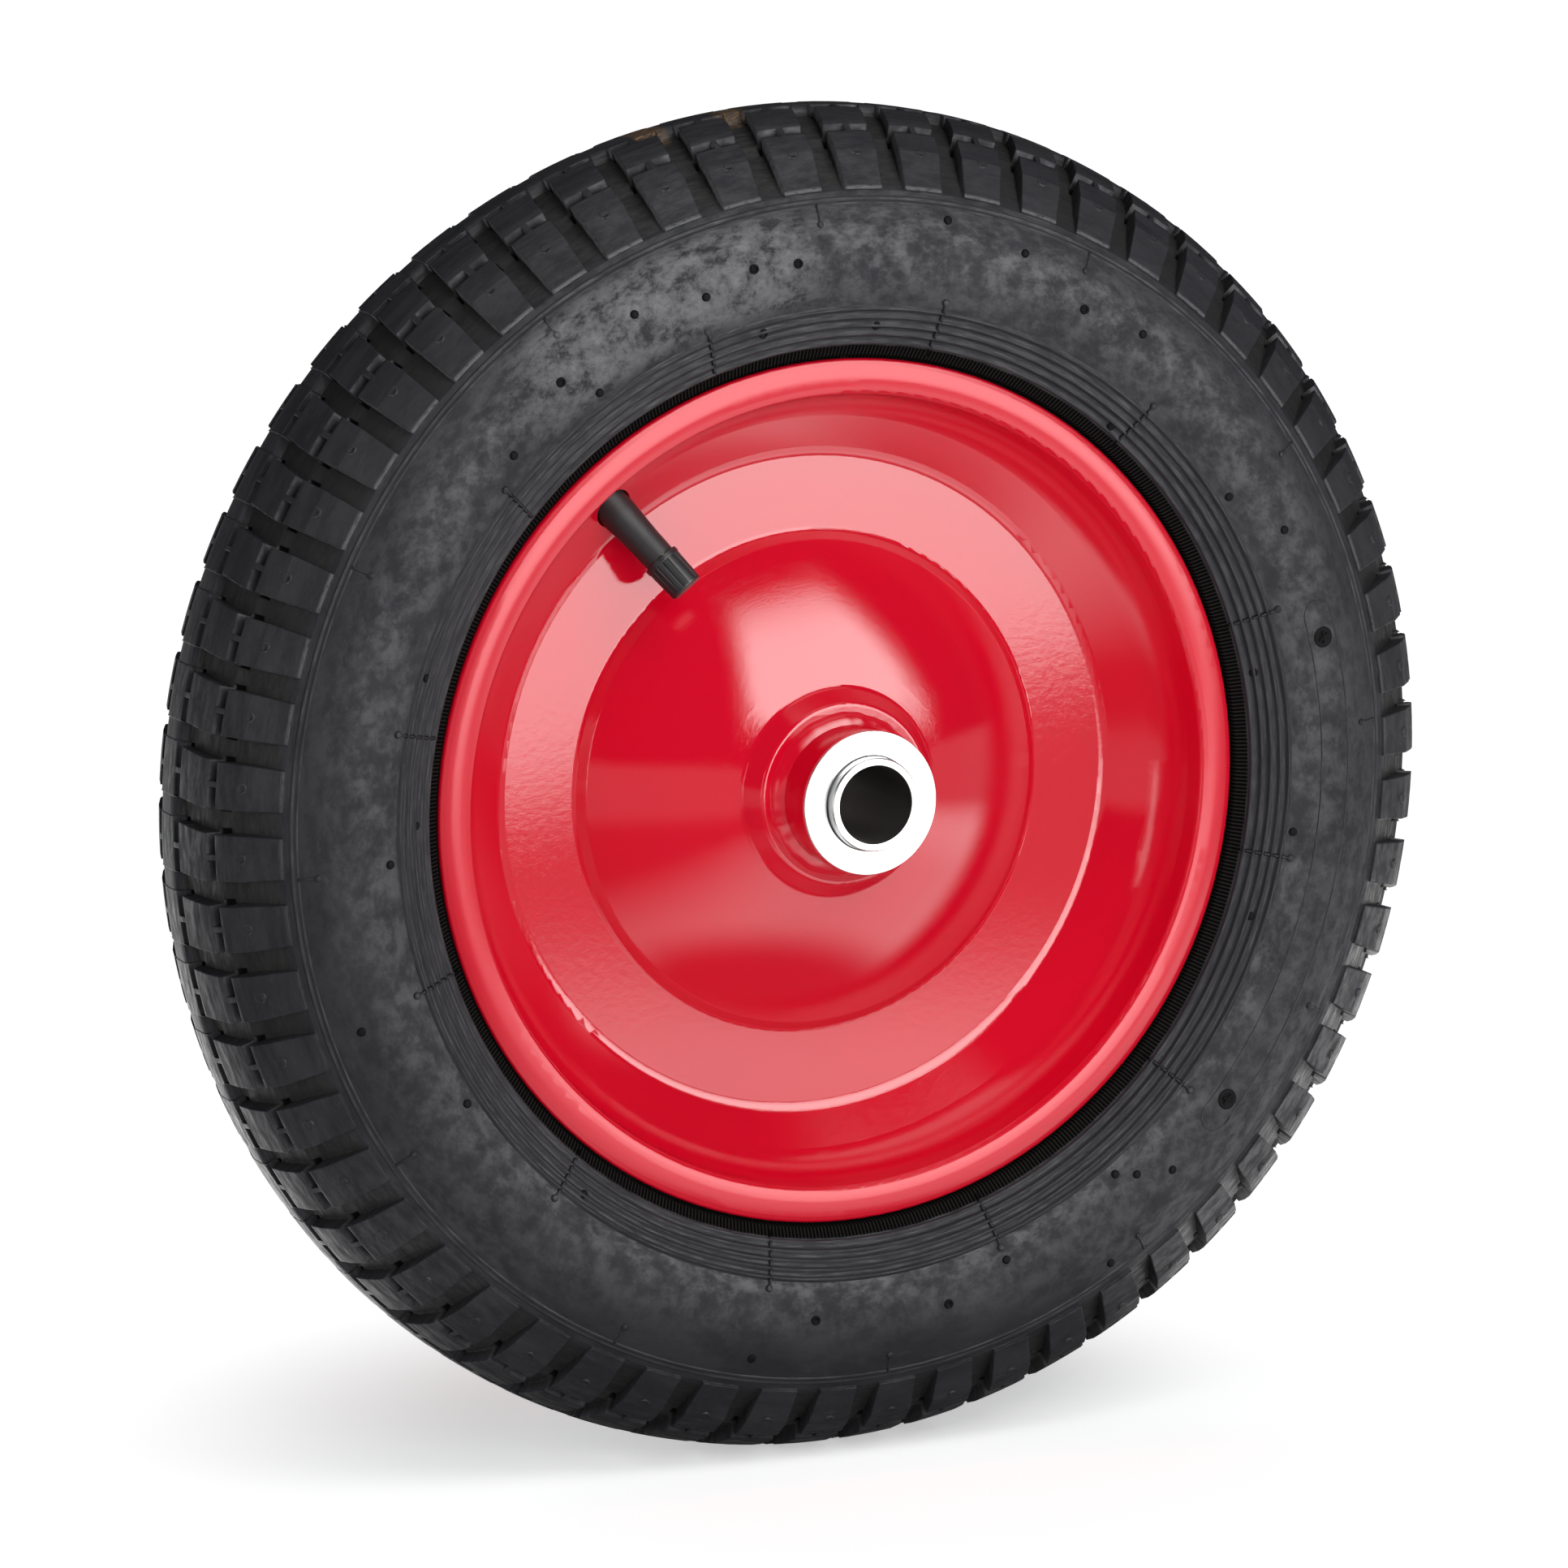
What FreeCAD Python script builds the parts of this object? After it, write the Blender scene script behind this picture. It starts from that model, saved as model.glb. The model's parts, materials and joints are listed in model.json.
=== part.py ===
import FreeCAD, Part
import math
import os
import Sketcher

# Wheelbarrow wheel with a pneumatic block tyre on a two-dish pressed rim.
# Frame: origin at the wheel centre, axle along Y, valve side towards -Y, Z up, millimetres.
# Each outline is drawn as radius against distance from the middle plane.

SIZES = {
    # axle bore and bearing inner rings
    "bore_radius": 10.0,
    "race_stand_out": 4.15,
    "race_inner_run": 3.0,
    "race_sleeve_wall": 2.06,
    "race_land_step": 0.64,
    "race_land_run": 2.7,
    "race_chamfer": 0.4,
    "spacer_wall": 1.0,
    "spacer_run": 1.25,
    "spacer_clearance": 0.03,
    # balls and their paths
    "ball_radius": 1.985,
    "race_land_depth": 1.3,
    "ball_plane_depth": 3.4,
    "ball_clearance": 0.015,
    "ball_count": 14,
    "cage_thickness": 0.8,
    "cage_half_width": 2.5,
    "cage_pocket_clearance": 0.1,
    # pressed outer cups with their face plates
    "cup_plate_overhang": 0.24,
    "cup_plate_hole_gap": 0.34,
    "cup_plate_thickness": 1.0,
    "cup_land_depth": 1.3,
    "cup_inner_run": 3.1,
    "cup_clearance": 0.02,
    # hub tube and weld beads
    "cup_wall": 1.45,
    "hub_wall": 1.5,
    "hub_half_length": 39.0,
    "weld_width": 3.25,
    "weld_height": 2.5,
    # pressed rim halves, seen surface
    "sheet": 1.4,
    "hub_hole_clearance": 0.1,
    "collar_margin": 1.8,
    "collar_rise": 4.8,
    "bell_run_a": 3.6,
    "bell_rise_a": 5.9,
    "bell_run_b": 19.0,
    "bell_rise_b": 10.55,
    "bell_run_c": 16.8,
    "bell_rise_c": 2.45,
    "bell_run_end": 2.5,
    "ring_width": 20.3,
    "wall_run": 15.2,
    "wall_rise": 10.7,
    "seat_run": 1.65,
    "seat_rise": 12.2,
    "crest_run": 4.65,
    "crest_rise": 1.3,
    "edge_run": 4.3,
    "edge_fall": 1.5,
    "curl_fall": 1.2,
    "valve_hole_radius": 5.3,
    # tyre
    "crown_centre_step": 8.0,
    "crown_arc": 31.0,
    "tread_depth": 3.2,
    "slot_depth": 5.0,
    "crown_wall": 2.8,
    "inner_crown_edge": 15.0,
    "crease_height": 23.0,
    "groove_turn_height": 15.95,
    "block_end_step": 0.4,
    "block_end_height": 28.5,
    "foot_step": 1.7,
    "foot_undercut": 0.7,
    "wall_centre_step": 23.0,
    "wall_arc_setback": 5.0,
    "wall_arc": 37.7,
    "wall_thickness": 4.5,
    "border_step": 17.1,
    "wall_foot_step": 1.0,
    "inner_wall_top_step": 14.7,
    "inner_wall_foot_step": 2.7,
    "bead_edge_step": 0.6,
    "bead_height_gap": 0.55,
    "bead_heel_step": 1.2,
    "bead_heel_chamfer": 1.15,
    "bead_toe_step": 1.6,
    "bead_toe_rise": 0.5,
    "pitch_count": 58,
    "pitch_phase": 1.09,
    "block_skew": 2.15,
    "inner_block_skew": 0.51,
    "shoulder_half_width": 5.9,
    "crease_half_width": 5.75,
    "end_half_width": 5.1,
    "block_half_width": 6.1,
    "inner_block_half_width": 6.3,
    "centre_half_width": 7.0,
    "centre_row_height": 4.8,
    "slot_a_inner": 15.9,
    "slot_a_outer": 18.2,
    "slot_c_inner": 4.3,
    "slot_c_outer": 6.8,
    "slot_left": 7.07,
    "slot_bridge_left": 0.87,
    "slot_bridge_right": 0.6,
    "slot_right": 6.5,
    # inner tube
    "tube_gap": 0.5,
    "tube_wall": 1.6,
    "tube_bottom_step": 8.0,
    "tube_bottom_rise": 2.0,
    "tube_side_step": 0.2,
    "tube_side_fall": 3.1,
    "tube_shoulder_step": 6.9,
    "tube_shoulder_rise": 1.4,
    # valve, measured along its own axis from the seen rim wall
    "valve_base_step": 7.1,
    "valve_base_rise": 5.6,
    "valve_angle": 127.1,
    "valve_tilt": 26.0,
    "stem_inner_end": 6.6,
    "stem_root_radius": 4.75,
    "stem_root_end": 2.0,
    "stem_neck_radius": 4.15,
    "stem_end": 16.8,
    "insert_root_radius": 2.9,
    "insert_thread_radius": 3.85,
    "insert_run": 7.95,
    "air_hole_radius": 1.2,
    "core_bore_radius": 2.55,
    "core_bore_end": 8.5,
    "core_radius": 2.5,
    "core_start": 12.0,
    "core_sink": 0.85,
    "pin_radius": 0.75,
    "pin_clearance": 0.05,
    "pin_sink": 0.35,
    "pin_head_radius": 1.6,
    "pin_head_length": 1.3,
    "pin_head_gap": 0.05,
    "cap_gap": 0.1,
    "cap_collar_radius": 4.9,
    "cap_collar_length": 1.5,
    "cap_collar_step": 0.2,
    "cap_taper": 0.3,
    "cap_length": 10.2,
    "cap_round": 0.8,
    "cap_thread_clearance": 0.1,
    "cap_roof": 1.1,
    "cap_ridge_count": 18,
    "cap_ridge_groove_radius": 0.45,
    "seal_radius": 3.7,
    "seal_gap": 0.05,
}

# places and radii that follow from the sizes above, each a step from its neighbour
PLACES = {
    "race_sleeve_radius": "bore_radius + race_sleeve_wall",
    "race_land_radius": "race_sleeve_radius + race_land_step",
    "ball_circle_radius": "race_land_radius + race_land_depth",
    "cup_land_radius": "ball_circle_radius + cup_land_depth",
    "cup_plate_hole_radius": "race_sleeve_radius + cup_plate_hole_gap",
    "hub_inner_radius": "cup_land_radius + cup_wall",
    "cup_plate_radius": "hub_inner_radius + hub_wall + cup_plate_overhang",
    "ball_plane": "hub_half_length - ball_plane_depth",
    "race_end": "hub_half_length + race_stand_out",
    "race_inner_end": "ball_plane - race_inner_run",
    "race_land_end": "ball_plane + race_land_run",
    "cup_inner_end": "ball_plane - cup_inner_run",
    "spacer_half_length": "ball_plane + spacer_run",
    "collar_radius": "hub_inner_radius + hub_wall + weld_width + collar_margin",
    "bell_radius_a": "collar_radius + bell_run_a",
    "bell_radius_b": "bell_radius_a + bell_run_b",
    "bell_radius_c": "bell_radius_b + bell_run_c",
    "ring_inner_radius": "bell_radius_c + bell_run_end",
    "ring_outer_radius": "ring_inner_radius + ring_width",
    "seat_start_radius": "ring_outer_radius + wall_run",
    "seat_end_radius": "seat_start_radius + seat_run",
    "flange_crest_radius": "seat_end_radius + crest_run",
    "flange_edge_radius": "flange_crest_radius + edge_run",
    "bell_height_c": "sheet + bell_rise_c",
    "bell_height_b": "bell_height_c + bell_rise_b",
    "bell_height_a": "bell_height_b + bell_rise_a",
    "collar_height": "bell_height_a + collar_rise",
    "seat_start_height": "sheet + wall_rise",
    "seat_end_height": "seat_start_height + seat_rise",
    "flange_crest_height": "seat_end_height + crest_rise",
    "flange_edge_height": "flange_crest_height - edge_fall",
    "flange_curl_end": "flange_edge_height - curl_fall",
    "bead_edge_radius": "flange_edge_radius + bead_edge_step",
    "wall_foot_radius": "flange_edge_radius + wall_foot_step",
    "inner_wall_foot_radius": "wall_foot_radius + inner_wall_foot_step",
    "bead_heel_radius": "seat_end_radius + bead_heel_step",
    "bead_toe_radius": "seat_start_radius + bead_toe_step",
    "wall_arc_centre_radius": "wall_foot_radius + wall_centre_step",
    "crown_centre_radius": "wall_arc_centre_radius + crown_centre_step",
    "border_radius": "wall_arc_centre_radius + border_step",
    "foot_radius": "border_radius + foot_step",
    "block_end_radius": "foot_radius + block_end_step",
    "inner_wall_top_radius": "wall_arc_centre_radius + inner_wall_top_step",
    "bead_height": "flange_curl_end - bead_height_gap",
    "bead_toe_height": "seat_start_height + bead_toe_rise",
    "groove_arc": "crown_arc - tread_depth",
    "slot_arc": "crown_arc - slot_depth",
    "inner_crown_arc": "slot_arc - crown_wall",
    "foot_height": "block_end_height - foot_undercut",
    "tube_bottom_radius": "ring_outer_radius + tube_bottom_step",
    "tube_side_radius": "seat_start_radius - tube_side_step",
    "tube_shoulder_radius": "bead_toe_radius + tube_shoulder_step",
    "tube_bottom_height": "sheet + tube_bottom_rise",
    "tube_side_height": "seat_start_height - tube_side_fall",
    "tube_shoulder_height": "bead_toe_height + tube_shoulder_rise",
    "valve_base_radius": "ring_outer_radius + valve_base_step",
    "valve_base_height": "sheet + valve_base_rise",
    "cap_start": "stem_end + cap_gap",
    "insert_end": "cap_start + insert_run",
    "core_end": "insert_end - core_sink",
    "pin_end": "insert_end - pin_sink",
    "cap_end": "cap_start + cap_length",
    "cap_body_radius": "cap_collar_radius - cap_collar_step",
    "cap_top_radius": "cap_body_radius - cap_taper",
    "cup_path_half": "sqrt((ball_radius + ball_clearance)^2 - (cup_land_radius - ball_circle_radius)^2)",
    "race_path_half": "sqrt((ball_radius + ball_clearance)^2 - (ball_circle_radius - race_land_radius)^2)",
}

doc = FreeCAD.newDocument("wheelbarrow_wheel")
sheet = doc.addObject("Spreadsheet::Sheet", "sizes")
NAMES = list(SIZES) + list(PLACES)
for row, key in enumerate(NAMES):
    sheet.set("A%d" % (row + 1), key)
    sheet.setAlias("B%d" % (row + 1), key)
for row, key in enumerate(NAMES):
    sheet.set("B%d" % (row + 1), repr(SIZES[key]) if key in SIZES else "=" + PLACES[key])
doc.recompute()

V = FreeCAD.Vector
NODES = []


def size(key):
    return float(sheet.get(key))


def amount(text):
    # value of a sum such as "a + 2*b - c", where a, b and c are names of sizes or numbers
    total = 0.0
    sign = 1.0
    for word in text.split():
        if word == "+":
            sign = 1.0
        elif word == "-":
            sign = -1.0
        else:
            product = 1.0
            for factor in word.split("*"):
                product *= size(factor) if factor in NAMES else float(factor)
            total += sign * product
            sign = 1.0
    return total


def bound(text):
    # the same sum as an expression on the sheet of sizes
    words = []
    for word in text.split():
        factors = word.split("*")
        words.append(" * ".join("sizes." + f if f in NAMES else f for f in factors))
    return " ".join(words)


def add(sketch, kind, *rest):
    return sketch.addConstraint(Sketcher.Constraint(kind, *rest))


def fix_point(sketch, geo, pos, corner):
    for kind, text, place in (("DistanceX", corner[0], 0), ("DistanceY", corner[1], 1)):
        number = add(sketch, kind, -1, 1, geo, pos, amount(text) if place == 0 else corner[3] * amount(text))
        sign = "" if place == 0 or corner[3] > 0 else "-"
        sketch.setExpression("Constraints[%d]" % number, "%s(%s)" % (sign, bound(text)))


def outline(sketch, corners, side=1, closed=True, arcs=None):
    # corners: (radius, height, rounding or None); arcs: {edge number: (radius, bulge side)}
    arcs = arcs or {}
    count = len(corners)
    pts = [V(amount(c[0]), side * amount(c[1]), 0) for c in corners]
    full = [(c[0], c[1], c[2], side) for c in corners]
    trims = {}
    for i in range(count):
        if not full[i][2]:
            continue
        if not closed and i in (0, count - 1):
            continue
        before = (pts[i - 1] - pts[i]).normalize()
        after = (pts[(i + 1) % count] - pts[i]).normalize()
        angle = before.getAngle(after)
        radius = amount(full[i][2])
        reach = radius / math.tan(angle / 2.0)
        middle = pts[i] + (before + after).normalize() * (radius / math.sin(angle / 2.0))
        trims[i] = (pts[i] + before * reach, pts[i] + after * reach, middle, radius)
    edges = []
    last = count if closed else count - 1
    for i in range(last):
        j = (i + 1) % count
        a = trims[i][1] if i in trims else pts[i]
        b = trims[j][0] if j in trims else pts[j]
        if i in arcs:
            radius = amount(arcs[i][0])
            chord = b - a
            normal = V(-chord.y, chord.x, 0).normalize()
            drop = math.sqrt(radius * radius - chord.Length ** 2 / 4.0)
            turn = arcs[i][1] * side
            centre = (a + b) * 0.5 - normal * (drop * turn)
            first = math.atan2(a.y - centre.y, a.x - centre.x)
            second = math.atan2(b.y - centre.y, b.x - centre.x)
            circle = Part.Circle(centre, V(0, 0, 1), radius)
            if turn > 0:
                geo = sketch.addGeometry(Part.ArcOfCircle(circle, second, first), False)
                edges.append((geo, 2, 1))
            else:
                geo = sketch.addGeometry(Part.ArcOfCircle(circle, first, second), False)
                edges.append((geo, 1, 2))
            number = add(sketch, "Radius", geo, radius)
            sketch.setExpression("Constraints[%d]" % number, bound(arcs[i][0]))
        else:
            edges.append((sketch.addGeometry(Part.LineSegment(a, b), False), 1, 2))
    for i in range(count):
        inner = closed or i not in (0, count - 1)
        if i in trims:
            a, b, middle, radius = trims[i]
            first = math.atan2(a.y - middle.y, a.x - middle.x)
            second = math.atan2(b.y - middle.y, b.x - middle.x)
            circle = Part.Circle(middle, V(0, 0, 1), radius)
            left = (b - a).cross(pts[i] - a).z < 0
            if left:
                geo = sketch.addGeometry(Part.ArcOfCircle(circle, first, second), False)
                start, end = 1, 2
            else:
                geo = sketch.addGeometry(Part.ArcOfCircle(circle, second, first), False)
                start, end = 2, 1
            add(sketch, "Tangent", edges[i - 1][0], edges[i - 1][2], geo, start)
            add(sketch, "Tangent", geo, end, edges[i][0], edges[i][1])
            number = add(sketch, "Radius", geo, radius)
            sketch.setExpression("Constraints[%d]" % number, bound(full[i][2]))
            mark = sketch.addGeometry(Part.Point(pts[i]), True)
            add(sketch, "PointOnObject", mark, 1, edges[i - 1][0])
            add(sketch, "PointOnObject", mark, 1, edges[i][0])
            fix_point(sketch, mark, 1, full[i])
        else:
            if inner:
                add(sketch, "Coincident", edges[i - 1][0], edges[i - 1][2], edges[i][0], edges[i][1])
            if i < len(edges):
                fix_point(sketch, edges[i][0], edges[i][1], full[i])
            else:
                fix_point(sketch, edges[i - 1][0], edges[i - 1][2], full[i])


def plane_of(body, role):
    return [f for f in body.Origin.OriginFeatures if f.Role == role][0]


def body_sketch(body, name, role="XY_Plane"):
    sketch = body.newObject("Sketcher::SketchObject", name)
    sketch.AttachmentSupport = [(plane_of(body, role), "")]
    sketch.MapMode = "FlatFace"
    return sketch


def keep(obj, name):
    obj.Label = name
    NODES.append((obj, name))
    return obj


def turned(name, corners, side=1, arcs=None):
    # a body turned about the axle from a closed outline
    body = doc.addObject("PartDesign::Body", name + "_body")
    sketch = body_sketch(body, name + "_section")
    outline(sketch, corners, side, True, arcs)
    turn = body.newObject("PartDesign::Revolution", name + "_turn")
    turn.Profile = sketch
    turn.ReferenceAxis = (sketch, ["V_Axis"])
    turn.Angle = 360.0
    doc.recompute()
    return body


# rim halves: the seen surface of the pressed sheet, given its thickness on the other side
RIM_PATH = [
    ("hub_inner_radius + hub_wall + hub_hole_clearance", "collar_height", None),
    ("collar_radius", "collar_height", "1.5"),
    ("bell_radius_a", "bell_height_a", "2.0"),
    ("bell_radius_b", "bell_height_b", "110"),
    ("bell_radius_c", "bell_height_c", "2.6"),
    ("ring_inner_radius", "sheet", "1.6"),
    ("ring_outer_radius", "sheet", "4.5"),
    ("seat_start_radius", "seat_start_height", "15.5"),
    ("seat_end_radius", "seat_end_height", "1.5"),
    ("flange_crest_radius", "flange_crest_height", "9"),
    ("flange_edge_radius", "flange_edge_height", "1.0"),
    ("flange_edge_radius", "flange_curl_end", None),
]


# the path runs from the flange inwards, so that the thickness lies towards the middle plane
rim_sketch = doc.addObject("Sketcher::SketchObject", "rim_path")
outline(rim_sketch, list(reversed(RIM_PATH)), -1, False)
doc.recompute()
rim_sheet = doc.addObject("Part::Offset2D", "rim_sheet")
rim_sheet.Source = rim_sketch
rim_sheet.Mode = "Skin"
rim_sheet.Fill = True
rim_sheet.Join = 2
rim_sheet.Value = size("sheet")
rim_sheet.setExpression("Value", "sizes.sheet")
rim_front = doc.addObject("Part::Revolution", "rim_front_turn")
rim_front.Source = rim_sheet
rim_front.Axis = V(0, 1, 0)
rim_front.Angle = 360.0
rim_front.Solid = True
rim_rear = doc.addObject("Part::Mirroring", "rim_half_rear")
rim_rear.Source = rim_front
rim_rear.Normal = V(0, 1, 0)
doc.recompute()


# valve axis
angle = math.radians(size("valve_angle"))
tilt = math.radians(size("valve_tilt"))
radial = V(math.cos(angle), 0, math.sin(angle))
valve_foot = radial * size("valve_base_radius") + V(0, -size("valve_base_height"), 0)
valve_way = radial * -math.cos(tilt) + V(0, -math.sin(tilt), 0)
VALVE = FreeCAD.Placement(valve_foot, FreeCAD.Rotation(V(0, 0, 1), valve_way))


def along_valve(name, corners):
    # a body turned about the valve axis: radius against distance along it
    body = doc.addObject("PartDesign::Body", name + "_body")
    sketch = body_sketch(body, name + "_section", "XZ_Plane")
    outline(sketch, corners)
    turn = body.newObject("PartDesign::Revolution", name + "_turn")
    turn.Profile = sketch
    turn.ReferenceAxis = (sketch, ["V_Axis"])
    turn.Angle = 360.0
    body.Placement = VALVE
    doc.recompute()
    return body


valve_hole = doc.addObject("Part::Cylinder", "valve_hole")
valve_hole.setExpression("Radius", "sizes.valve_hole_radius")
valve_hole.Height = 24.0
valve_hole.Placement = VALVE.multiply(FreeCAD.Placement(V(0, 0, -12.0), FreeCAD.Rotation()))
rim_front_cut = doc.addObject("Part::Cut", "rim_half_front")
rim_front_cut.Base = rim_front
rim_front_cut.Tool = valve_hole
keep(rim_front_cut, "rim_half_front")
keep(rim_rear, "rim_half_rear")

# hub tube with its two weld beads
HUB = [
    ("hub_inner_radius", "-1*hub_half_length", None),
    ("hub_inner_radius + hub_wall", "-1*hub_half_length", None),
    ("hub_inner_radius + hub_wall", "hub_half_length", None),
    ("hub_inner_radius", "hub_half_length", None),
]
keep(turned("hub_tube", HUB), "hub_tube")
WELD = [
    ("hub_inner_radius + hub_wall", "collar_height", None),
    ("hub_inner_radius + hub_wall + weld_width", "collar_height", None),
    ("hub_inner_radius + hub_wall + 0.9*weld_width", "collar_height + 0.45*weld_height", "0.8"),
    ("hub_inner_radius + hub_wall + 0.52*weld_width", "collar_height + 0.87*weld_height", "1.0"),
    ("hub_inner_radius + hub_wall", "collar_height + weld_height", None),
]
keep(turned("hub_weld_front", WELD, -1), "hub_weld_front")
keep(turned("hub_weld_rear", WELD, 1), "hub_weld_rear")

SPACER = [
    ("bore_radius", "-1*spacer_half_length", None),
    ("bore_radius + spacer_wall - spacer_clearance", "-1*spacer_half_length", None),
    ("bore_radius + spacer_wall - spacer_clearance", "spacer_half_length", None),
    ("bore_radius", "spacer_half_length", None),
]
keep(turned("spacer_tube", SPACER), "spacer_tube")

path_radius = size("ball_radius") + size("ball_clearance")
CUP = [
    ("cup_plate_hole_radius", "hub_half_length + cup_plate_thickness", None),
    ("cup_plate_hole_radius", "hub_half_length", None),
    ("cup_land_radius", "hub_half_length", "0.6"),
    ("cup_land_radius", "ball_plane + cup_path_half", None),
    ("cup_land_radius", "ball_plane - cup_path_half", None),
    ("cup_land_radius", "cup_inner_end", None),
    ("hub_inner_radius - cup_clearance", "cup_inner_end", "0.5"),
    ("hub_inner_radius - cup_clearance", "hub_half_length", None),
    ("cup_plate_radius", "hub_half_length", None),
    ("cup_plate_radius", "hub_half_length + cup_plate_thickness", "0.4"),
]
RACE = [
    ("bore_radius", "race_end", "0.3"),
    ("bore_radius", "spacer_half_length", None),
    ("bore_radius + spacer_wall", "spacer_half_length", None),
    ("bore_radius + spacer_wall", "race_inner_end", None),
    ("race_land_radius", "race_inner_end", "0.3"),
    ("race_land_radius", "ball_plane - race_path_half", None),
    ("race_land_radius", "ball_plane + race_path_half", None),
    ("race_land_radius", "race_land_end", None),
    ("race_sleeve_radius", "race_land_end + 0.3", None),
    ("race_sleeve_radius", "race_end - race_chamfer", None),
    ("race_sleeve_radius - race_chamfer", "race_end", None),
]
PATH = "ball_radius + ball_clearance"
for place, side in (("front", -1), ("rear", 1)):
    keep(turned("bearing_cup_" + place, CUP, side, {3: (PATH, 1)}), "bearing_cup_" + place)
    keep(turned("inner_race_" + place, RACE, side, {5: (PATH, 1)}), "inner_race_" + place)

    balls = doc.addObject("PartDesign::Body", "ball_set_%s_body" % place)
    balls.AllowCompound = True
    ball = balls.newObject("PartDesign::AdditiveSphere", "ball_" + place)
    ball.setExpression("Radius", "sizes.ball_radius")
    ball.AttachmentSupport = [(plane_of(balls, "XY_Plane"), "")]
    ball.MapMode = "FlatFace"
    ball.setExpression(".AttachmentOffset.Base.x", "sizes.ball_circle_radius")
    ball.setExpression(".AttachmentOffset.Base.y", "%d * sizes.ball_plane" % side)
    ring = balls.newObject("PartDesign::PolarPattern", "ball_ring_" + place)
    ring.Originals = [ball]
    ring.Axis = ([f for f in balls.Origin.OriginFeatures if f.Role == "Y_Axis"][0], [""])
    ring.Angle = 360.0
    ring.setExpression("Occurrences", "sizes.ball_count")
    balls.Tip = ring
    doc.recompute()
    keep(balls, "ball_set_" + place)

    CAGE = [
        ("ball_circle_radius - 0.5*cage_thickness", "ball_plane - cage_half_width", None),
        ("ball_circle_radius + 0.5*cage_thickness", "ball_plane - cage_half_width", None),
        ("ball_circle_radius + 0.5*cage_thickness", "ball_plane + cage_half_width", None),
        ("ball_circle_radius - 0.5*cage_thickness", "ball_plane + cage_half_width", None),
    ]
    cage = turned("ball_cage_" + place, CAGE, side)
    hole_sketch = body_sketch(cage, "cage_hole_" + place, "YZ_Plane")
    hole_sketch.addGeometry(Part.Circle(V(side * size("ball_plane"), 0, 0), V(0, 0, 1), path_radius), False)
    number = add(hole_sketch, "DistanceX", -1, 1, 0, 3, side * size("ball_plane"))
    hole_sketch.setExpression("Constraints[%d]" % number, "%d * sizes.ball_plane" % side)
    add(hole_sketch, "PointOnObject", 0, 3, -1)
    number = add(hole_sketch, "Radius", 0, path_radius)
    hole_sketch.setExpression("Constraints[%d]" % number, "sizes.ball_radius + sizes.cage_pocket_clearance")
    hole = cage.newObject("PartDesign::Pocket", "cage_pocket_" + place)
    hole.Profile = hole_sketch
    hole.Length = 20.0
    hole.Reversed = True
    doc.recompute()
    holes = cage.newObject("PartDesign::PolarPattern", "cage_pockets_" + place)
    holes.Originals = [hole]
    holes.Axis = ([f for f in cage.Origin.OriginFeatures if f.Role == "Y_Axis"][0], [""])
    holes.Angle = 360.0
    holes.setExpression("Occurrences", "sizes.ball_count")
    cage.Tip = holes
    doc.recompute()
    keep(cage, "ball_cage_" + place)

# valve pieces
STEM = [
    ("insert_root_radius", "-1*stem_inner_end", None),
    ("stem_root_radius", "-1*stem_inner_end", "0.8"),
    ("stem_root_radius", "stem_root_end", "6"),
    ("stem_neck_radius + 0.15", "stem_root_end + 8.5", "20"),
    ("stem_neck_radius", "stem_end", None),
    ("insert_root_radius", "stem_end", None),
]
stem = along_valve("valve_stem", STEM)
keep(stem, "valve_stem")
INSERT = [
    ("air_hole_radius", "-1*stem_inner_end", None),
    ("insert_root_radius", "-1*stem_inner_end", None),
    ("insert_root_radius", "stem_end", None),
    ("insert_thread_radius", "stem_end", None),
    ("insert_thread_radius", "insert_end", "0.3"),
    ("core_bore_radius", "insert_end", None),
    ("core_bore_radius", "core_bore_end", None),
    ("air_hole_radius", "core_bore_end", None),
]
keep(along_valve("valve_insert", INSERT), "valve_insert")
CORE = [
    ("pin_radius + pin_clearance", "core_start", None),
    ("core_radius", "core_start", None),
    ("core_radius", "core_end", "0.3"),
    ("pin_radius + pin_clearance", "core_end", None),
]
keep(along_valve("valve_core", CORE), "valve_core")
PIN = [
    ("0", "core_start - pin_head_gap - pin_head_length", None),
    ("pin_head_radius", "core_start - pin_head_gap - pin_head_length", None),
    ("pin_head_radius", "core_start - pin_head_gap", None),
    ("pin_radius", "core_start - pin_head_gap", None),
    ("pin_radius", "pin_end", "0.2"),
    ("0", "pin_end", None),
]
keep(along_valve("valve_pin", PIN), "valve_pin")
SEAL = [
    ("0", "insert_end + seal_gap", None),
    ("seal_radius", "insert_end + seal_gap", None),
    ("seal_radius", "cap_end - cap_roof", None),
    ("0", "cap_end - cap_roof", None),
]
keep(along_valve("cap_seal", SEAL), "cap_seal")
CAP = [
    ("0", "cap_end - cap_roof", None),
    ("insert_thread_radius + cap_thread_clearance", "cap_end - cap_roof", None),
    ("insert_thread_radius + cap_thread_clearance", "cap_start", None),
    ("cap_collar_radius", "cap_start", "0.3"),
    ("cap_collar_radius", "cap_start + cap_collar_length", "0.3"),
    ("cap_body_radius", "cap_start + cap_collar_length", None),
    ("cap_top_radius", "cap_end", "cap_round"),
    ("0", "cap_end", None),
]
cap = along_valve("valve_cap", CAP)
ridge_sketch = body_sketch(cap, "cap_ridge", "XY_Plane")
ridge_sketch.setExpression(".AttachmentOffset.Base.z", "sizes.cap_end + 1")
ridge_sketch.addGeometry(Part.Circle(V(size("cap_body_radius"), 0, 0), V(0, 0, 1), 0.45), False)
number = add(ridge_sketch, "DistanceX", -1, 1, 0, 3, size("cap_body_radius"))
ridge_sketch.setExpression("Constraints[%d]" % number, "sizes.cap_body_radius + 0.1")
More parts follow.
